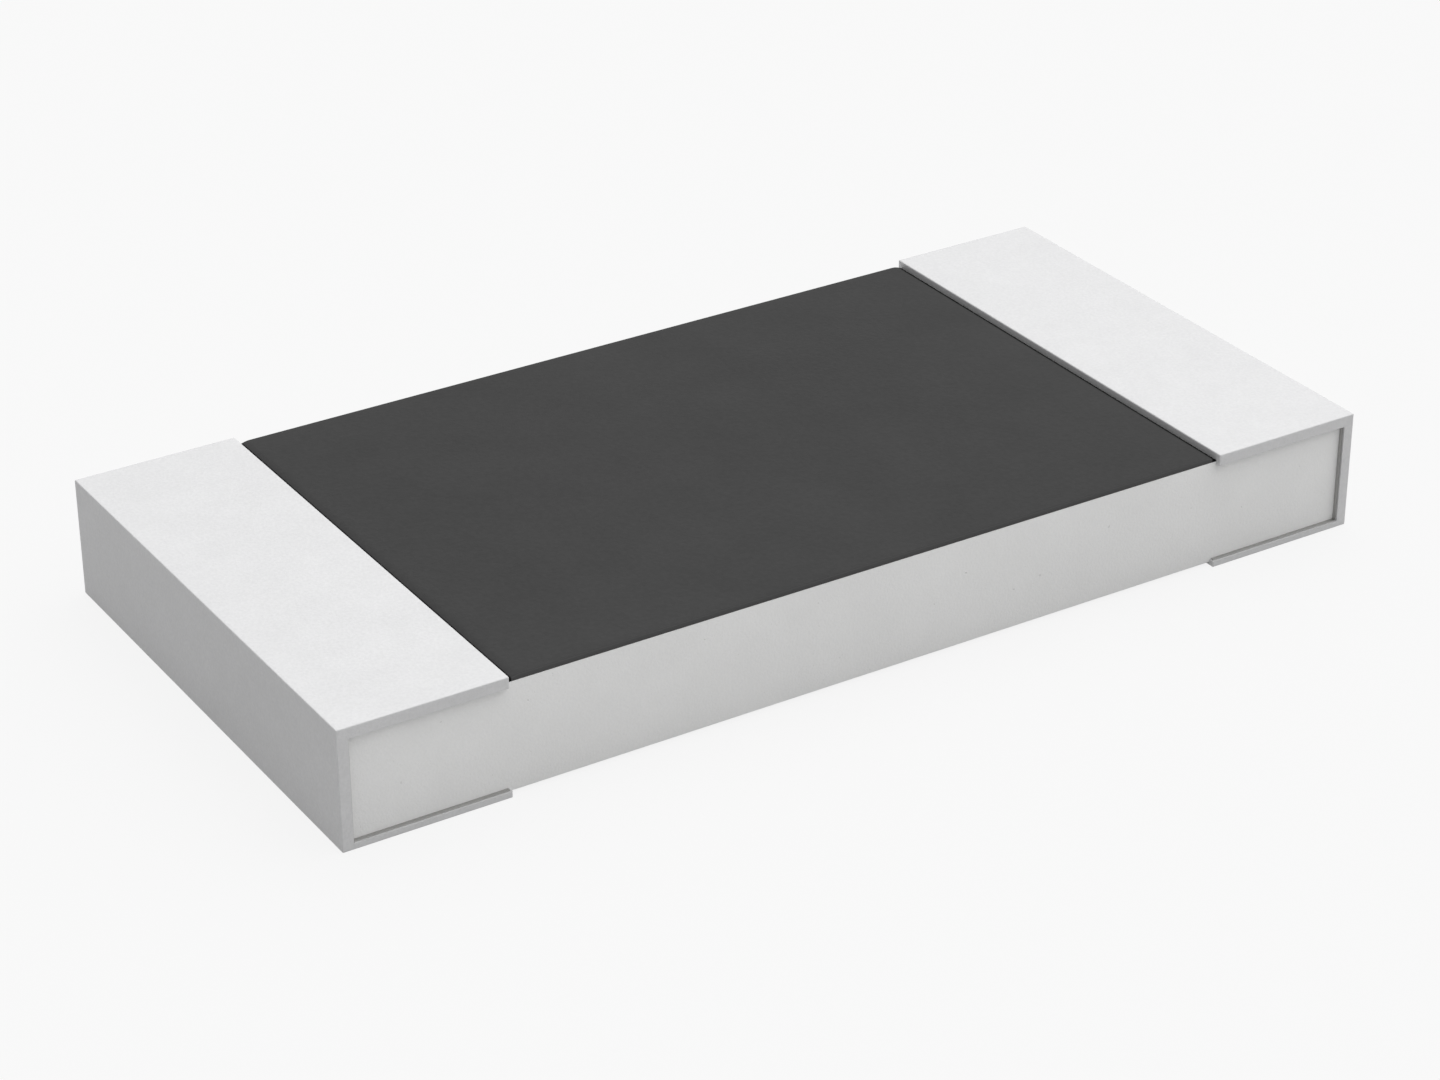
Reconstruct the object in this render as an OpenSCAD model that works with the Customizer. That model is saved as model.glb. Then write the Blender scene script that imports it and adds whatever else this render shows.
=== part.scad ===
// Thick-film chip resistor in the 2010 case size: a ceramic plate with a printed
// resistive film, glass, a dark overcoat, printed electrodes and plated terminations.
// Millimetres, +Z up, +X along the length. The origin is the middle of the underside
// of the terminations, where they rest on a circuit board.

/* [Ceramic plate] */
// Length of the plate
plate_l = 4.956; // [4.2:0.002:6.6]
// Width of the plate
plate_w = 2.385; // [1.9:0.005:3.4]
// Thickness of the plate
plate_t = 0.495; // [0.3:0.005:0.8]

/* [Electrodes] */
// Thickness of the top electrodes, which run in under the overcoat
top_electrode_t = 0.004; // [0.002:0.001:0.008]
// How far the top electrodes run in past the top lands
top_electrode_reach = 0.3; // [0.25:0.01:0.5]
// Distance of the top electrodes from the long sides of the plate
top_electrode_inset = 0.1; // [0.05:0.01:0.2]
// Thickness of the upper electrodes, printed over the outer ends of the top electrodes
upper_electrode_t = 0.023; // [0.012:0.001:0.03]
// Thickness of the edge electrodes on the ends of the plate
edge_electrode_t = 0.01; // [0.004:0.001:0.02]
// Thickness of the bottom electrodes
bottom_electrode_t = 0.004; // [0.002:0.001:0.02]

/* [Terminations] */
// Length of each land on the top, from the outer end
top_land_l = 0.75; // [0.45:0.01:1]
// Length of each land on the underside, from the outer end
bottom_land_l = 0.75; // [0.45:0.01:1.2]
// Thickness of the nickel plating
nickel_t = 0.004; // [0.002:0.001:0.01]
// Thickness of the tin plating over the nickel, on every side
tin_t = 0.008; // [0.006:0.001:0.02]
// How far the nickel stands out from the long sides of the plate
nickel_lip = 0.017; // [0.008:0.001:0.03]
// How far the tin wraps over the long edges of the plate onto its long sides
tin_wrap = 0.013; // [0.01:0.001:0.03]
// How far the tin wraps round the upright edges of the plate onto its long sides
tin_end_wrap = 0.028; // [0.01:0.001:0.05]
// How much of the nickel shows beyond the tin on the long sides
nickel_rim = 0.005; // [0.002:0.001:0.01]
// Radius of the outer edges of the tin
tin_edge_r = 0.006; // [0.004:0.001:0.012]

/* [Resistive film] */
// Thickness of the film over the top electrodes
film_t = 0.005; // [0.003:0.001:0.01]
// Distance of the film from the long sides of the plate
film_inset = 0.44; // [0.4:0.01:0.7]
// How far the film laps over each top electrode
film_lap = 0.1; // [0.05:0.01:0.14]
// Width of the laser trim cut
trim_kerf = 0.04; // [0.02:0.005:0.08]
// Place of the trim cut along X
trim_x = 0.35; // [-0.2:0.05:0.8]
// Depth of the trim cut from the front edge of the film
trim_depth = 0.6; // [0.2:0.05:0.9]
// Length of the trim cut's leg along the film
trim_leg = 0.7; // [0.2:0.05:0.9]

/* [Glass and overcoat] */
// Thickness of the glass over the film
glass_t = 0.004; // [0.002:0.001:0.008]
// How far the glass reaches past the film all round
glass_lap = 0.05; // [0.02:0.01:0.08]
// Thickness of the overcoat over the middle of the glass
overcoat_t = 0.017; // [0.012:0.001:0.03]
// Thickness of the overcoat along the long sides of the plate
overcoat_side_t = 0.023; // [0.015:0.001:0.025]
// Thickness of the overcoat's rim over the top electrodes, beside the terminations
overcoat_rim = 0.002; // [0.001:0.001:0.006]
// Width of the steep slope that rises from that rim
overcoat_end_slope = 0.04; // [0.02:0.005:0.1]
// Width of the gentle slope from the long sides to the flat middle
overcoat_slope = 0.6; // [0.3:0.05:0.7]

/* [Hidden] */
left_end = -1;
right_end = 1;
$fn = 48;

// Half sizes of the plate, and its levels above the board
plate_x = plate_l / 2;
plate_y = plate_w / 2;
plating_t = nickel_t + tin_t;
plate_z0 = plating_t + bottom_electrode_t;
plate_z1 = plate_z0 + plate_t;

// Outer faces of the printed electrodes
edge_x = plate_x + edge_electrode_t;
bottom_z = plate_z0 - bottom_electrode_t;
top_z = plate_z1 + top_electrode_t;
upper_z = top_z + upper_electrode_t;

// Half sizes of the whole part, and its height
end_x = edge_x + plating_t;
side_y = plate_y + nickel_lip + tin_t;
high_z = upper_z + plating_t;

// Inner ends of the lands, and inner ends and half width of the top electrodes
top_land_x = end_x - top_land_l;
bottom_land_x = end_x - bottom_land_l;
top_electrode_x = top_land_x - top_electrode_reach;
top_electrode_y = plate_y - top_electrode_inset;

// Film and glass: half sizes and tops
film_x = top_electrode_x + film_lap;
film_y = plate_y - film_inset;
film_z = top_z + film_t;
glass_x = film_x + glass_lap;
glass_y = film_y + glass_lap;
glass_z = film_z + glass_t;

// Overcoat: levels of its rim, of its long sides and of its middle
rim_z = top_z + overcoat_rim;
coat_side_z = plate_z1 + overcoat_side_t;
crown_z = glass_z + overcoat_t;

// Stations of the overcoat's surface: down the slope at each end, and evenly across
slope_cells = 5;
coat_cells = 20;
slope_stations = [for (i = [0 : slope_cells]) top_land_x - overcoat_end_slope * i / slope_cells];
coat_xs = concat(-slope_stations, [for (i = [slope_cells : -1 : 0]) slope_stations[i]]);
coat_ys = [for (i = [0 : coat_cells]) plate_y * (2 * i / coat_cells - 1)];

// Share of a slope's rise at a distance in from its foot: a parabola that ends level
function slope_share(inset, width) = let (s = min(inset / width, 1)) s * (2 - s);

// Height of the overcoat: gently crowned across, and falling to the rim at both ends
function coat_z(x, y) =
    let (across = coat_side_z + (crown_z - coat_side_z) * slope_share(plate_y - abs(y), overcoat_slope))
        rim_z + (across - rim_z) * slope_share(top_land_x - abs(x), overcoat_end_slope);

// A box from x0 to x1 and z0 to z1, of half width y
module slab(x0, x1, y, z0, z1) {
    translate([x0, -y, z0]) cube([x1 - x0, 2 * y, z1 - z0]);
}

// A rectangle with true round corners, or square ones where r is 0
module round_rect(x0, x1, y0, y1, r) {
    translate([x0 + r, y0]) square([x1 - x0 - 2 * r, y1 - y0]);
    if (r > 0) {
        translate([x0, y0 + r]) square([x1 - x0, y1 - y0 - 2 * r]);
        for (x = [x0 + r, x1 - r], y = [y0 + r, y1 - r]) translate([x, y]) circle(r);
    }
}

// What is modelled at the right end, or its mirror image at the left end
module at_end(end) {
    if (end == right_end) children();
    else mirror([1, 0, 0]) children();
}

// A C-shaped block round the right end: the printed electrodes grown by grow, standing lip out
// from the long sides, and reaching in by wrap over the plate's long edges and by end_wrap at its end
module end_block(grow, lip, wrap, end_wrap, r) {
    rotate([90, 0, 0]) linear_extrude(2 * (plate_y + lip), center = true) {
        round_rect(top_land_x + plating_t - grow, edge_x + grow, plate_z1 - wrap, upper_z + grow, r);
        round_rect(bottom_land_x + plating_t - grow, edge_x + grow, bottom_z - grow, plate_z0 + wrap, r);
        round_rect(plate_x - end_wrap, edge_x + grow, bottom_z - grow, upper_z + grow, r);
    }
}

// The printed electrodes, reaching a little way into the plate so that no skin is left between them
module electrode_block() {
    end_block(0, 0, tin_wrap, tin_end_wrap, 0);
}

module nickel_block() {
    end_block(nickel_t, nickel_lip, tin_wrap + nickel_rim, tin_end_wrap + nickel_rim, 0);
}

// The tin's C shape, with its other edges rounded by outlines seen from the end and from above
module tin_block() {
    intersection() {
        end_block(plating_t, nickel_lip + tin_t, tin_wrap, tin_end_wrap, tin_edge_r);
        rotate([90, 0, 90]) linear_extrude(end_x) round_rect(-side_y, side_y, 0, high_z, tin_edge_r);
        linear_extrude(high_z) round_rect(-end_x, end_x, -side_y, side_y, tin_edge_r);
    }
}

module plate() {
    slab(-plate_x, plate_x, plate_y, plate_z0, plate_z1);
}

module top_strip() {
    slab(top_electrode_x, plate_x, top_electrode_y, plate_z1, top_z);
}

module both_top_strips() {
    for (end = [left_end, right_end]) at_end(end) top_strip();
}

// What the plating is wrapped round: the plate, and the right top electrode with the plate under it
module plated_core() {
    plate();
    slab(top_electrode_x, plate_x, top_electrode_y, plate_z0, top_z);
    electrode_block();
}

// The L-shaped cut that the trimming laser leaves in the film and the glass over it
module trim_cut() {
    turn_y = trim_depth - film_y;
    start_y = -glass_y - trim_kerf;
    cut_t = glass_z - plate_z1 + glass_t;
    translate([trim_x - trim_kerf / 2, start_y, plate_z1]) cube([trim_kerf, turn_y - start_y, cut_t]);
    translate([trim_x - trim_leg, turn_y - trim_kerf, plate_z1]) cube([trim_leg, trim_kerf, cut_t]);
}

module trimmed_film() {
    difference() {
        slab(-film_x, film_x, film_y, plate_z1, film_z);
        trim_cut();
    }
}

module trimmed_glass() {
    difference() {
        slab(-glass_x, glass_x, glass_y, plate_z1, glass_z);
        trim_cut();
    }
}

// A block on the plate, thin at both ends and gently crowned across
module crown_block() {
    row = len(coat_xs);
    last = row - 1;
    cells = [for (iy = [0 : coat_cells - 1], ix = [0 : last - 1]) iy * row + ix];
    top_points = [for (y = coat_ys, x = coat_xs) [x, y, coat_z(x, y)]];
    corners = [[-1, -1], [1, -1], [1, 1], [-1, 1]];
    foot_points = [for (c = corners) [c[0] * top_land_x, c[1] * plate_y, plate_z1]];
    foot = len(top_points);
    back = coat_cells * row;
    top_faces = [for (i = cells, half = [[0, row, row + 1], [0, row + 1, 1]]) [for (k = half) i + k]];
    sides = [
        [foot, for (ix = [0 : last]) ix, foot + 1],
        [foot + 1, for (iy = [0 : coat_cells]) iy * row + last, foot + 2],
        [foot + 2, for (ix = [0 : last]) back + last - ix, foot + 3],
        [foot + 3, for (iy = [0 : coat_cells]) back - iy * row, foot]
    ];
    under = [[for (k = [0 : 3]) foot + k]];
    polyhedron(concat(top_points, foot_points), concat(top_faces, sides, under));
}

module ceramic_substrate() {
    color([0.91, 0.91, 0.9]) plate();
}

module resistive_film() {
    color([0.15, 0.15, 0.17]) difference() {
        trimmed_film();
        both_top_strips();
    }
}

module glass_coat() {
    color([0.56, 0.64, 0.58]) difference() {
        trimmed_glass();
        trimmed_film();
        both_top_strips();
    }
}

module protective_overcoat() {
    color([0.3, 0.3, 0.3]) difference() {
        crown_block();
        trimmed_glass();
        both_top_strips();
    }
}

module top_electrode(end) {
    color([0.78, 0.77, 0.74]) at_end(end) top_strip();
}

module upper_electrode(end) {
    color([0.8, 0.79, 0.76]) at_end(end) difference() {
        slab(top_land_x + plating_t, plate_x, plate_y, plate_z1, upper_z);
        top_strip();
    }
}

module edge_electrode(end) {
    color([0.76, 0.75, 0.72]) at_end(end) slab(plate_x, edge_x, plate_y, bottom_z, upper_z);
}

module bottom_electrode(end) {
    color([0.78, 0.77, 0.74]) at_end(end)
        slab(bottom_land_x + plating_t, plate_x, plate_y, bottom_z, plate_z0);
}

module nickel_barrier(end) {
    color([0.6, 0.58, 0.54]) at_end(end) difference() {
        nickel_block();
        plated_core();
    }
}

module tin_termination(end) {
    color([0.87, 0.87, 0.88]) at_end(end) difference() {
        tin_block();
        plated_core();
        nickel_block();
    }
}

ceramic_substrate();
resistive_film();
glass_coat();
protective_overcoat();
top_electrode(left_end);  // top_electrode_left
top_electrode(right_end);  // top_electrode_right
upper_electrode(left_end);  // upper_electrode_left
upper_electrode(right_end);  // upper_electrode_right
edge_electrode(left_end);  // edge_electrode_left
edge_electrode(right_end);  // edge_electrode_right
bottom_electrode(left_end);  // bottom_electrode_left
bottom_electrode(right_end);  // bottom_electrode_right
nickel_barrier(left_end);  // nickel_barrier_left
nickel_barrier(right_end);  // nickel_barrier_right
tin_termination(left_end);  // tin_termination_left
tin_termination(right_end);  // tin_termination_right
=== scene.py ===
import math

import bpy
import numpy as np
from mathutils import Matrix, Vector


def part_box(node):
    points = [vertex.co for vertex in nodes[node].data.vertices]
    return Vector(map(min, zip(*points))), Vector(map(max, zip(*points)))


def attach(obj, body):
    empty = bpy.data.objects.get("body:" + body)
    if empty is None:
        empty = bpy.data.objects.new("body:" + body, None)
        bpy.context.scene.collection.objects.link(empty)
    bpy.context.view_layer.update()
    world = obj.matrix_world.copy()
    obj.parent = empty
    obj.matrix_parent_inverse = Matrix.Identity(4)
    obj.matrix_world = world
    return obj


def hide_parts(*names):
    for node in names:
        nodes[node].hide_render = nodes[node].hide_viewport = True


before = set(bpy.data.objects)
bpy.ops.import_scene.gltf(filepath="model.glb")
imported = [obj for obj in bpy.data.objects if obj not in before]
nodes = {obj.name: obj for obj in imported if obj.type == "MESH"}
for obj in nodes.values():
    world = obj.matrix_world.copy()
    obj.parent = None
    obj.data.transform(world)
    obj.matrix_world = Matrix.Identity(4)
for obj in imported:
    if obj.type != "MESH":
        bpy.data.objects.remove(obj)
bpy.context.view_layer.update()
mm = 0.001  # a millimetre and a micrometre, in the scene's metres
um = 0.000001
scene = bpy.context.scene
scene.view_settings.view_transform = "Standard"
print("frame loaded:", len(nodes), "nodes")


# A socket to reckon with: each operator lays one Math node
class Wire:
    def __init__(self, board, socket):
        self.board = board
        self.socket = socket

    def maths(self, operation, first, second):
        return self.board.add("ShaderNodeMath", {"operation": operation}, {0: first, 1: second})["Value"]

    def __add__(self, other):
        return self.maths("ADD", self, other)

    def __radd__(self, other):
        return self.maths("ADD", other, self)

    def __sub__(self, other):
        return self.maths("SUBTRACT", self, other)

    def __rsub__(self, other):
        return self.maths("SUBTRACT", other, self)

    def __mul__(self, other):
        return self.maths("MULTIPLY", self, other)

    def __rmul__(self, other):
        return self.maths("MULTIPLY", other, self)

    def __abs__(self):
        return self.maths("ABSOLUTE", self, 0.0)

    def atMost(self, other):
        return self.maths("MINIMUM", self, other)

    def atLeast(self, other):
        return self.maths("MAXIMUM", self, other)


# A node tree to lay nodes on: type first, then settings, then what goes into the sockets
class Board:
    def __init__(self, tree):
        self.tree = tree
        tree.nodes.clear()

    def add(self, kind, settings=None, sockets=None):
        node = self.tree.nodes.new(kind)
        for name, value in (settings or {}).items():
            setattr(node, name, value)
        for name, value in (sockets or {}).items():
            found = [s for s in node.inputs if s.enabled and s.name == name]
            socket = node.inputs[name] if isinstance(name, int) else found[0]
            if isinstance(value, Wire):
                self.tree.links.new(value.socket, socket)
            else:
                socket.default_value = value
        return {s.name: Wire(self, s) for s in node.outputs if s.enabled}

    def place(self):  # where on the part a point lies, in metres
        return self.add("ShaderNodeTexCoord")["Object"]

    def grain(self, place, size, detail=2.0):  # soft noise from 0 to 1 with lumps of about this size
        sockets = {"Vector": place, "Scale": 1 / size, "Detail": detail}
        return self.add("ShaderNodeTexNoise", {}, sockets)["Fac"]

    def over(self, below, colour, share):  # a plain colour laid over what is below it
        sockets = {"Factor": share, "A": below, "B": (*colour, 1)}
        return self.add("ShaderNodeMix", {"data_type": "RGBA"}, sockets)["Result"]

    def between(self, low, high, share):  # a colour that goes from low to high
        return self.over((*low, 1), high, share)

    def ramp(self, value, start, end):  # 0 at start, 1 at end, eased
        sockets = {"Value": value, "From Min": start, "From Max": end}
        return self.add("ShaderNodeMapRange", {"interpolation_type": "SMOOTHSTEP"}, sockets)["Result"]

    def relief(self, height, depth, normal=None):  # bump of this depth where height goes from 0 to 1
        sockets = {"Height": height, "Distance": depth, "Strength": 1.0}
        if normal:
            sockets["Normal"] = normal
        return self.add("ShaderNodeBump", {}, sockets)["Normal"]

    def surface(self, sockets):  # the shader itself, joined to the output
        shader = self.add("ShaderNodeBsdfPrincipled", {}, sockets)["BSDF"]
        self.add("ShaderNodeOutputMaterial", {}, {"Surface": shader})


def newFinish(name):
    material = bpy.data.materials.new(name)
    material.use_nodes = True
    return material, Board(material.node_tree)


# Matt tin: fine plated grains, clouded where the bath ran thicker. Both also dull it a little
mattTin = {
    "dark": (0.53, 0.53, 0.535),
    "light": (0.69, 0.69, 0.695),
    "metallic": 0.2,
    "gloss": 0.25,
    "roughness": 0.46,
    "grainDull": 0.08,
    "cloudDull": 0.06,
    "grainShare": 0.7,  # of the colour's change, the rest being the clouds'
    "grainSize": 13 * um,
    "cloudSize": 160 * um,
    "grainDepth": 0.9 * um,
    "cloudDepth": 1.2 * um,
}


def makeTin():
    material, board = newFinish("matt_tin_plating")
    place = board.place()
    grains = board.grain(place, mattTin["grainSize"], detail=3.0)
    clouds = board.grain(place, mattTin["cloudSize"])
    share = grains * mattTin["grainShare"] + clouds * (1 - mattTin["grainShare"])
    waves = board.relief(clouds, mattTin["cloudDepth"])
    board.surface({
        "Base Color": board.between(mattTin["dark"], mattTin["light"], share),
        "Metallic": mattTin["metallic"],
        "Roughness": mattTin["roughness"] + grains * mattTin["grainDull"] + clouds * mattTin["cloudDull"],
        "Specular IOR Level": mattTin["gloss"],
        "Normal": board.relief(grains, mattTin["grainDepth"], waves),
    })
    return material


# Nickel barrier: darker and warmer than the tin, with a fine satin grain
satinNickel = {
    "dark": (0.41, 0.408, 0.401),
    "light": (0.51, 0.507, 0.497),
    "roughness": 0.38,
    "grainDull": 0.12,
    "grainSize": 8 * um,
    "grainDepth": 0.5 * um,
}


def makeNickel():
    material, board = newFinish("satin_nickel_plating")
    grains = board.grain(board.place(), satinNickel["grainSize"], detail=3.0)
    board.surface({
        "Base Color": board.between(satinNickel["dark"], satinNickel["light"], grains),
        "Metallic": 1.0,
        "Roughness": satinNickel["roughness"] + grains * satinNickel["grainDull"],
        "Normal": board.relief(grains, satinNickel["grainDepth"]),
    })
    return material


# Alumina: sintered grains, with a few darker pores
firedAlumina = {
    "dark": (0.78, 0.78, 0.775),
    "light": (0.88, 0.88, 0.875),
    "pore": (0.60, 0.60, 0.59),
    "roughness": 0.78,
    "gloss": 0.3,
    "grainDull": 0.12,
    "grainShare": 0.5,
    "poreShare": 0.5,
    "poreFrom": 0.74,  # where the pores' noise starts to show, and where it is full
    "poreFull": 0.82,
    "grainSize": 9 * um,
    "cloudSize": 220 * um,
    "poreSize": 26 * um,
    "grainDepth": 1.2 * um,
}


def makeAlumina():
    material, board = newFinish("fired_alumina")
    place = board.place()
    grains = board.grain(place, firedAlumina["grainSize"], detail=3.0)
    clouds = board.grain(place, firedAlumina["cloudSize"])
    share = grains * firedAlumina["grainShare"] + clouds * (1 - firedAlumina["grainShare"])
    specks = board.grain(place, firedAlumina["poreSize"], detail=1.0)
    pores = board.ramp(specks, firedAlumina["poreFrom"], firedAlumina["poreFull"])
    body = board.between(firedAlumina["dark"], firedAlumina["light"], share)
    board.surface({
        "Base Color": board.over(body, firedAlumina["pore"], pores * firedAlumina["poreShare"]),
        "Roughness": firedAlumina["roughness"] + grains * firedAlumina["grainDull"],
        "Specular IOR Level": firedAlumina["gloss"],
        "Normal": board.relief(grains - pores, firedAlumina["grainDepth"]),
    })
    return material


# Overcoat: screen-printed and cured, so it is finely pebbled and a little clouded. Painted shade darkens
# it in a band beside the terminations, and painted light makes it paler along the rounded long sides
printedCoat = {
    "dark": (0.030, 0.030, 0.030),
    "light": (0.054, 0.054, 0.054),
    # Painted shade: the dark colour of the band beside each termination, where the wall's shadow falls
    "paintedShade": (0.006, 0.006, 0.006),
    # Painted light: a paler colour on the rounded long edges, against the shade that falls on their sides
    "paintedLightEdge": (0.075, 0.075, 0.075),
    "roughness": 0.72,
    "gloss": 0.10,
    "pebbleDull": 0.12,
    "paintedShadeDull": 0.2,
    "pebbleShare": 0.6,
    "pebbleSize": 22 * um,
    "cloudSize": 350 * um,
    "pebbleDepth": 1.5 * um,
    "paintedShadeWidth": 25 * um,
    "paintedShadeCore": 0.75,  # the share of the painted shade band that is dark throughout
    "paintedLightWidth": 5 * um,
}


def makeCoat(halfLength, halfWidth):
    material, board = newFinish("printed_overcoat")
    place = board.place()
    pebbles = board.grain(place, printedCoat["pebbleSize"])
    clouds = board.grain(place, printedCoat["cloudSize"])
    share = pebbles * printedCoat["pebbleShare"] + clouds * (1 - printedCoat["pebbleShare"])
    apart = board.add("ShaderNodeSeparateXYZ", {}, {"Vector": place})
    fromEnd = halfLength - abs(apart["X"])
    fromSide = halfWidth - abs(apart["Y"])
    # Painted shade: a band beside each termination is darkened and dulled, and its inner part is dark
    # throughout
    paintedShadeCore = printedCoat["paintedShadeWidth"] * printedCoat["paintedShadeCore"]
    paintedShade = 1 - board.ramp(fromEnd, paintedShadeCore, printedCoat["paintedShadeWidth"])
    # Painted light: the coat is made paler within a few micrometres of the long sides
    paintedLight = 1 - board.ramp(fromSide, 0, printedCoat["paintedLightWidth"])
    body = board.between(printedCoat["dark"], printedCoat["light"], share)
    paintedLitBody = board.over(body, printedCoat["paintedLightEdge"], paintedLight)
    dull = pebbles * printedCoat["pebbleDull"] + paintedShade * printedCoat["paintedShadeDull"]
    board.surface({
        # The painted shade beside the terminations is laid over everything else
        "Base Color": board.over(paintedLitBody, printedCoat["paintedShade"], paintedShade),
        "Roughness": printedCoat["roughness"] + dull,
        "Specular IOR Level": printedCoat["gloss"],
        "Normal": board.relief(pebbles, printedCoat["pebbleDepth"]),
    })
    return material


# Layers that lie under the coat and the plating: silver print, resistive film and glass
printedLayers = {
    "fired_silver": {
        "dark": (0.55, 0.54, 0.51),
        "light": (0.68, 0.66, 0.62),
        "metallic": 1.0,
        "roughness": 0.5,
    },
    "ruthenium_film": {
        "dark": (0.022, 0.022, 0.026),
        "light": (0.04, 0.04, 0.045),
        "metallic": 0.0,
        "roughness": 0.4,
    },
    "printed_glass": {
        "dark": (0.20, 0.27, 0.22),
        "light": (0.30, 0.38, 0.32),
        "metallic": 0.0,
        "roughness": 0.15,
    },
}
layerGrain = {
    "grainDull": 0.1,
    "grainShare": 0.5,
    "grainSize": 12 * um,
    "cloudSize": 150 * um,
    "grainDepth": 0.6 * um,
}


def makeLayer(name):
    layer = printedLayers[name]
    material, board = newFinish(name)
    place = board.place()
    grains = board.grain(place, layerGrain["grainSize"], detail=3.0)
    clouds = board.grain(place, layerGrain["cloudSize"])
    share = grains * layerGrain["grainShare"] + clouds * (1 - layerGrain["grainShare"])
    board.surface({
        "Base Color": board.between(layer["dark"], layer["light"], share),
        "Metallic": layer["metallic"],
        "Roughness": layer["roughness"] + grains * layerGrain["grainDull"],
        "Normal": board.relief(grains, layerGrain["grainDepth"]),
    })
    return material


# Corner numbers of the quads between neighbouring rows and columns of a grid. A closed grid's last column
# is joined to its first
def gridQuads(rows, columns, closed=False):
    row = np.arange(rows - 1)[:, None] * columns
    column = np.arange(columns if closed else columns - 1)[None, :]
    after = (column + 1) % columns
    quads = np.stack([row + column, row + after, row + columns + after, row + columns + column], axis=-1)
    return quads.reshape(-1, 4)


# A closed shell from two skins on the same grid: one skin, the other turned over, and a ribbon that joins
# their rims
def shellQuads(rows, columns):
    count = rows * columns
    number = np.arange(count).reshape(rows, columns)
    rim = np.concatenate([number[:, 0], number[-1, 1:], number[-2::-1, -1], number[0, -2::-1]])
    ribbon = np.stack([rim[:-1], rim[1:], rim[1:] + count, rim[:-1] + count], axis=-1)
    skin = gridQuads(rows, columns)
    return np.concatenate([skin, skin[:, ::-1] + count, ribbon])


# Six times the volume inside the quads: its sign says whether they face outwards
def turnedOutwards(points, quads):
    a, b, c, d = (points[quads[:, k]] for k in range(4))
    volume = np.einsum("ij,ij->", a, np.cross(b, c)) + np.einsum("ij,ij->", a, np.cross(c, d))
    return quads if volume > 0 else quads[:, ::-1]


# Edges that turn by more than the crease, in degrees, stay sharp
joins = {"merge": 0.02 * um, "crease": 38}


# Puts whole arrays into a mesh at the origin, merges its seams and poles, and shades it smooth
def layPiece(name, points, quads, material, nodeName):
    mesh = bpy.data.meshes.new(name)
    mesh.from_pydata(points.tolist(), [], turnedOutwards(points, quads).tolist())
    piece = bpy.data.objects.new(name, mesh)
    scene.collection.objects.link(piece)
    mesh.materials.append(material)
    weld = piece.modifiers.new("seams", "WELD")
    weld.merge_threshold = joins["merge"]
    depsgraph = bpy.context.evaluated_depsgraph_get()
    welded = bpy.data.meshes.new_from_object(piece.evaluated_get(depsgraph))
    piece.modifiers.clear()
    piece.data = welded
    welded.name = name
    bpy.data.meshes.remove(mesh)
    welded.shade_smooth()
    welded.set_sharp_from_angle(angle=math.radians(joins["crease"]))
    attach(piece, "root")
    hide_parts(nodeName)
    print("made", name, len(welded.vertices), "points")


plateLow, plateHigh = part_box("ceramic_substrate")
stripLow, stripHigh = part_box("top_electrode_right")
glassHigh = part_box("glass_coat")[1]
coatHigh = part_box("protective_overcoat")[1]
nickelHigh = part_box("nickel_barrier_right")[1]
tinLow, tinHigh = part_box("tin_termination_right")

tinFinish = makeTin()
nickelFinish = makeNickel()
aluminaFinish = makeAlumina()
coatFinish = makeCoat(coatHigh.x, coatHigh.y)
layerFinishes = {name: makeLayer(name) for name in printedLayers}
print("finishes made")

# The plate: a rounded rectangle round the length axis, carried from end to end. At each end a quarter
# circle draws it in, and it closes in one point
plate = {"edgeRound": 4 * um, "arcSteps": 6, "spans": 24}


def makePlate():
    radius = plate["edgeRound"]
    quarter = np.linspace(0, math.pi / 2, plate["arcSteps"] + 1)
    turn = (np.arange(4)[:, None] * math.pi / 2 + quarter[None, :]).ravel()  # the four corners in turn
    corner = np.repeat(np.array([[1, 1], [-1, 1], [-1, -1], [1, -1]]), len(quarter), axis=0)
    middle = (plateLow.z + plateHigh.z) / 2
    core = corner * np.array([plateHigh.y - radius, (plateHigh.z - plateLow.z) / 2 - radius])
    spread = np.stack([np.cos(turn), np.sin(turn)], axis=-1)

    reach = plateHigh.x
    endX = reach - radius + radius * np.sin(quarter)
    endRound = radius * np.cos(quarter)  # what is left of the corner radius towards the end
    spanX = np.linspace(radius - reach, reach - radius, plate["spans"] + 1)[1:-1]
    ringX = np.concatenate([[-reach], -endX[::-1], spanX, endX, [reach]])
    ringRound = np.concatenate([[0], endRound[::-1], np.full(len(spanX), radius), endRound, [0]])
    ringSize = np.ones(len(ringX))
    ringSize[[0, -1]] = 0
    loop = (core[None] + ringRound[:, None, None] * spread[None]) * ringSize[:, None, None]
    points = np.empty((len(ringX), len(turn), 3))
    points[..., 0] = ringX[:, None]
    points[..., 1] = loop[..., 0]
    points[..., 2] = loop[..., 1] + middle
    points = points.reshape(-1, 3)
    quads = gridQuads(len(ringX), len(turn), closed=True)
    layPiece("alumina_plate", points, quads, aluminaFinish, "ceramic_substrate")


makePlate()

# The overcoat: gently crowned, with round long edges, and falling to a thin rim at both ends. Each slope
# is a parabola that ends level
coat = {
    "rim": 2 * um,  # over the printed strip
    "side": 23 * um,  # over the plate, along the long edges
    "endSlope": 60 * um,
    "slope": 600 * um,
    "edgeRound": 7 * um,
    "cellsX": 72,
    "cellsY": 52,
    "endRows": 11,
    "roundRows": 8,
    "step": 0.5 * um,  # the width of a step in the layers below
}


def slopeShare(inset, width):
    share = np.clip(inset / width, 0, 1)
    return share * (2 - share)


# Even stations from -half to half, with close ones near both ends and at every step of the layers below
def stations(half, count, close, steps):
    right = np.concatenate([half - close, np.concatenate([[s, s + coat["step"]] for s in steps])])
    even = np.linspace(-half, half, count + 1)
    return np.unique(np.concatenate([even, right, -right]).round(10))


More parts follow.
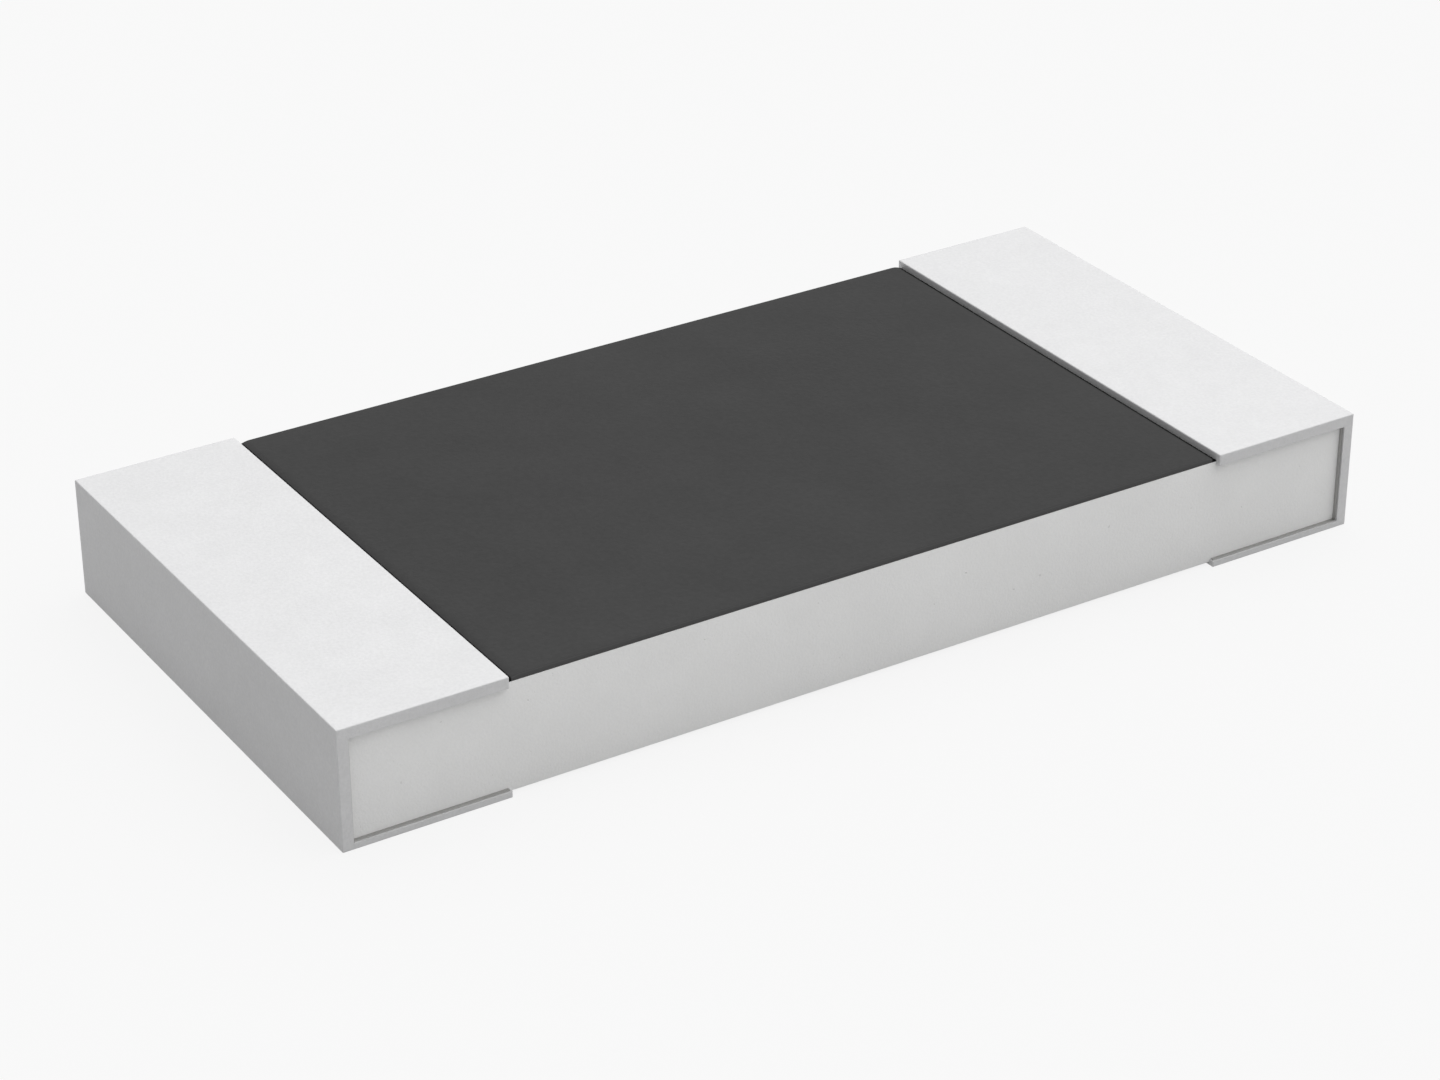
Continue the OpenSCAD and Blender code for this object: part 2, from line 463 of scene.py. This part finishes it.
def makeCoatPiece():
    stripX = stripLow.x - coat["step"]
    closeX = coat["endSlope"] * np.linspace(0, 1, coat["endRows"])
    closeY = coat["edgeRound"] * (1 - np.cos(np.linspace(0, math.pi / 2, coat["roundRows"])))
    x = stations(coatHigh.x, coat["cellsX"], closeX, [stripX, glassHigh.x])
    y = stations(coatHigh.y, coat["cellsY"], closeY, [stripHigh.y, glassHigh.y])
    gridX, gridY = np.meshgrid(x, y, indexing="ij")
    insetX = coatHigh.x - np.abs(gridX)
    insetY = coatHigh.y - np.abs(gridY)
    rim = stripHigh.z + coat["rim"]
    side = plateHigh.z + coat["side"]
    lost = 1 - np.clip(insetY / coat["edgeRound"], 0, 1)
    rounding = coat["edgeRound"] * (1 - np.sqrt(1 - lost * lost))  # a quarter circle down the long edges
    crown = (coatHigh.z - side) * slopeShare(insetX, coat["slope"]) * slopeShare(insetY, coat["slope"])
    topZ = rim + (side + crown - rounding - rim) * slopeShare(insetX, coat["endSlope"])

    near = coat["step"] / 2
    onStrip = (np.abs(gridX) > stripX + near) & (np.abs(gridY) < stripHigh.y + near)
    onGlass = (np.abs(gridX) < glassHigh.x + near) & (np.abs(gridY) < glassHigh.y + near)
    footZ = np.where(onGlass, glassHigh.z, np.where(onStrip, stripHigh.z, plateHigh.z))

    topPoints = np.stack([gridX, gridY, topZ], axis=-1).reshape(-1, 3)
    footPoints = np.stack([gridX, gridY, footZ], axis=-1).reshape(-1, 3)
    points = np.concatenate([topPoints, footPoints])
    quads = shellQuads(*gridX.shape)
    layPiece("printed_coat", points, quads, coatFinish, "protective_overcoat")


makeCoatPiece()

# A tin cap: a skin carried round the end of the plate from foot to foot, with a lip folded down each long
# side. Across, it runs lip, round edge, flat, round edge, lip. The inner skin is the outer one moved in
# along its normal
tinCap = {
    "edgeRound": 6 * um,
    "wrap": 13 * um,
    "endWrap": 28 * um,
    "innerRound": 5 * um,
    "arcSteps": 10,
    "rows": (0.02, 0.1, 0.3, 0.5, 0.7, 0.9, 0.98),  # as shares of a straight run
    "footRows": (0, 0.4, 0.8),
    "columns": 10,
    "columnsFrom": 0.9,  # as a share of the way out from the middle
    "step": 0.5 * um,  # to each side of an edge below
}


# Points and outward normals along an arc in the XZ plane
def arc(centreX, centreZ, radius, start, end):
    turn = np.linspace(start, end, tinCap["arcSteps"] + 1)
    normal = np.stack([np.cos(turn), np.sin(turn)], axis=-1)
    return np.array([centreX, centreZ]) + radius * normal, normal


# Points and normals between two ends of a straight run, leaving the ends themselves to the arcs
def straight(first, last, normal, rows=tinCap["rows"]):
    share = np.array(rows)[:, None]
    points = np.array(first) * (1 - share) + np.array(last) * share
    return points, np.repeat(np.array([normal], float), len(points), axis=0)


# The cap's path in the XZ plane, with its normals and the number of the run that each point belongs to:
# up the step, along the top, down the end, back along the underside and up to the plate, all with round
# corners
def capPath():
    radius = tinCap["edgeRound"]
    inX, outX = tinLow.x, tinHigh.x
    low, high = tinLow.z, tinHigh.z
    footHigh = (inX, stripHigh.z)
    footLow = (inX, plateLow.z)
    footRows = np.array(tinCap["footRows"])
    half = math.pi / 2
    runs = [
        straight(footHigh, (inX, high - radius), (-1, 0), footRows),
        arc(inX + radius, high - radius, radius, math.pi, half),
        straight((inX + radius, high), (outX - radius, high), (0, 1)),
        arc(outX - radius, high - radius, radius, half, 0),
        straight((outX, high - radius), (outX, low + radius), (1, 0)),
        arc(outX - radius, low + radius, radius, 0, -half),
        straight((outX - radius, low), (inX + radius, low), (0, -1)),
        arc(inX + radius, low + radius, radius, -half, -math.pi),
        straight((inX, low + radius), footLow, (-1, 0), 1 - footRows[::-1]),
    ]
    path = np.concatenate([points for points, normals in runs])
    normal = np.concatenate([normals for points, normals in runs])
    run = np.repeat(np.arange(len(runs)), [len(points) for points, normals in runs])
    return path, normal, run


# The lip's inner edge, a point for each point of the path: along the top, round the corner, down the end,
# and back along the bottom
def lipEdge(path, normal, run):
    bend = tinCap["innerRound"]
    startX = tinLow.x + tinCap["edgeRound"]
    endX = plateHigh.x - tinCap["endWrap"]
    highZ = plateHigh.z - tinCap["wrap"]
    lowZ = plateLow.z + tinCap["wrap"]
    length = np.concatenate([[0], np.cumsum(np.linalg.norm(np.diff(path, axis=0), axis=1))])

    def share(chosen):
        gone = length - length[chosen].min()
        return np.clip(gone / np.ptp(length[chosen]), 0, 1)

    upper, lower, upright = run <= 2, run >= 6, run == 4
    x = np.where(upper, startX + (endX - bend - startX) * share(upper), endX)
    x = np.where(lower, endX - bend + (startX - endX + bend) * share(lower), x)
    z = np.where(upper, highZ, np.where(lower, lowZ, 0))
    z = np.where(upright, highZ - bend + (lowZ + 2 * bend - highZ) * share(upright), z)
    edge = np.stack([x, z], axis=-1)
    highCorner = np.array([endX - bend, highZ - bend]) + bend * normal
    lowCorner = np.array([endX - bend, lowZ + bend]) + bend * normal
    edge = np.where((run == 3)[:, None], highCorner, edge)
    return np.where((run == 5)[:, None], lowCorner, edge)


def makeCap(side, end):
    radius = tinCap["edgeRound"]
    wall = tinHigh.x - nickelHigh.x
    path, normal, run = capPath()
    edge = lipEdge(path, normal, run)

    # Half of the way across, from the lip's inner edge to the middle: place in Y, inset and tilt
    turn = np.linspace(0, math.pi / 2, tinCap["arcSteps"] + 1)
    beside = np.array([1, -1]) * tinCap["step"]
    evenly = np.linspace(tinCap["columnsFrom"], 0, tinCap["columns"]) * plateHigh.y
    flat = np.concatenate([plateHigh.y + beside, stripHigh.y + beside, evenly])
    across = np.concatenate([[tinHigh.y], tinHigh.y - radius * (1 - np.cos(turn)), flat])
    inset = np.concatenate([[radius], radius * (1 - np.sin(turn)), np.zeros(len(flat))])
    tilt = np.concatenate([[0], turn, np.full(len(flat), math.pi / 2)])
    y = np.concatenate([across, -across[-2::-1]])
    inset = np.concatenate([inset, inset[-2::-1]])
    sideways = np.concatenate([np.cos(tilt), -np.cos(tilt)[-2::-1]])
    onward = np.concatenate([np.sin(tilt), np.sin(tilt)[-2::-1]])

    skin = path[:, None, :] - normal[:, None, :] * inset[None, :, None]
    skin[:, [0, -1]] = edge[:, None, :]
    # The feet stand on the printed strip and on the plate, and the lips reach down beside it
    lips = np.abs(y) > plateHigh.y
    skin[0, np.abs(y) > stripHigh.y, 1] = plateHigh.z
    skin[0, lips, 1] = plateHigh.z - tinCap["wrap"]
    skin[-1, lips, 1] = plateLow.z + tinCap["wrap"]
    outer = np.stack([skin[..., 0], np.broadcast_to(y, skin.shape[:2]), skin[..., 1]], axis=-1)
    facing = np.stack([
        normal[:, None, 0] * onward[None],
        np.broadcast_to(sideways, skin.shape[:2]),
        normal[:, None, 1] * onward[None],
    ], axis=-1)
    inner = outer - wall * facing  # clipped, because the edges inside are square
    inner = np.clip(inner, np.array(tinLow) + wall, np.array(tinHigh) - wall)
    points = np.concatenate([outer.reshape(-1, 3), inner.reshape(-1, 3)]) * np.array([end, 1, 1])
    quads = shellQuads(*skin.shape[:2])
    layPiece("tin_cap_" + side, points, quads, tinFinish, "tin_termination_" + side)


makeCap("left", -1)
makeCap("right", 1)

# What stays as it is in the frame and only takes a finish
keptFinishes = {
    "nickel_barrier": nickelFinish,
    "top_electrode": layerFinishes["fired_silver"],
    "upper_electrode": layerFinishes["fired_silver"],
    "edge_electrode": layerFinishes["fired_silver"],
    "bottom_electrode": layerFinishes["fired_silver"],
    "resistive_film": layerFinishes["ruthenium_film"],
    "glass_coat": layerFinishes["printed_glass"],
}
for start, finish in keptFinishes.items():
    for name in [n for n in nodes if n.startswith(start)]:
        for holder in nodes[name].material_slots:
            holder.material = finish
print("kept layers finished")

# The floor: one pale sheet just below the terminations. Where it is looked at or mirrored, most of it is
# plain white, and the rest keeps the shadow
floor = {
    "colour": (0.47, 0.47, 0.47),
    "white": 0.86,
    "speckle": 0.005,
    "speckleSize": 2 * mm,
    "half": 150 * mm,
    "drop": 0.2 * um,
}


def makeFloor():
    material, board = newFinish("pale_floor")
    speckle = board.grain(board.place(), floor["speckleSize"])
    low = [c * (1 - floor["speckle"]) for c in floor["colour"]]
    colour = board.between(low, floor["colour"], speckle)
    paper = board.add("ShaderNodeBsdfDiffuse", {}, {"Color": colour})["BSDF"]
    white = board.add("ShaderNodeEmission", {}, {"Color": (1, 1, 1, 1), "Strength": 1.0})["Emission"]
    ray = board.add("ShaderNodeLightPath")
    seen = ray["Is Camera Ray"] + ray["Is Glossy Ray"] + ray["Is Transmission Ray"]
    share = seen.atMost(1.0) * floor["white"]
    mixed = board.add("ShaderNodeMixShader", {}, {0: share, 1: paper, 2: white})["Shader"]
    board.add("ShaderNodeOutputMaterial", {}, {"Surface": mixed})
    side = np.linspace(-floor["half"], floor["half"], 3)
    gridX, gridY = np.meshgrid(side, side, indexing="ij")
    points = np.stack([gridX, gridY, np.full(gridX.shape, -floor["drop"])], axis=-1).reshape(-1, 3)
    mesh = bpy.data.meshes.new("floor")
    mesh.from_pydata(points.tolist(), [], gridQuads(3, 3)[:, ::-1].tolist())
    mesh.materials.append(material)
    sheet = bpy.data.objects.new("floor", mesh)
    scene.collection.objects.link(sheet)


makeFloor()

# Studio light: an even glow all round, a broad softbox above, and a weaker fill card in front
studio = {
    "glow": 0.36,
    "softbox": 2.0,
    "softboxTowards": (0.42, 0.14, 0.88),
    "fill": 0.1,
    "fillTowards": (0.30, -0.90, 0.30),
}


def makeStudio():
    world = bpy.data.worlds.new("studio")
    scene.world = world
    world.use_nodes = True
    board = Board(world.node_tree)
    ray = board.add("ShaderNodeTexCoord")["Generated"]

    def card(name):  # falls off with the square of the cosine to the card's middle
        towards = Vector(studio[name + "Towards"]).normalized()
        sockets = {0: ray, 1: towards}
        facing = board.add("ShaderNodeVectorMath", {"operation": "DOT_PRODUCT"}, sockets)["Value"]
        lit = facing.atLeast(0.0)
        return studio[name] * lit * lit

    strength = studio["glow"] + card("softbox") + card("fill")
    sockets = {"Color": (1, 1, 1, 1), "Strength": strength}
    glow = board.add("ShaderNodeBackground", {}, sockets)["Background"]
    board.add("ShaderNodeOutputWorld", {}, {"Surface": glow})


makeStudio()
print("floor and light set")

# The camera stands off the left front corner and looks down at about the middle of the underside
camera = {
    "place": (-7.692 * mm, -12.231 * mm, 7.883 * mm),
    "azimuth": -32.082,
    "elevation": 28.342,
    "roll": -0.18,
    "lens": 93.74,
    "sensor": 36.0,
    "near": 0.5 * mm,
    "far": 1.0,
}


def makeCamera():
    data = bpy.data.cameras.new("camera")
    data.sensor_fit = "HORIZONTAL"
    data.sensor_width = camera["sensor"]
    data.lens = camera["lens"]
    data.clip_start = camera["near"]
    data.clip_end = camera["far"]
    eye = bpy.data.objects.new("camera", data)
    scene.collection.objects.link(eye)
    turn = Matrix.Rotation(math.radians(camera["azimuth"]), 4, "Z")
    tip = Matrix.Rotation(math.radians(90 - camera["elevation"]), 4, "X")
    roll = Matrix.Rotation(math.radians(camera["roll"]), 4, "Z")
    eye.matrix_world = Matrix.Translation(camera["place"]) @ turn @ tip @ roll
    scene.camera = eye


makeCamera()
print("camera set")
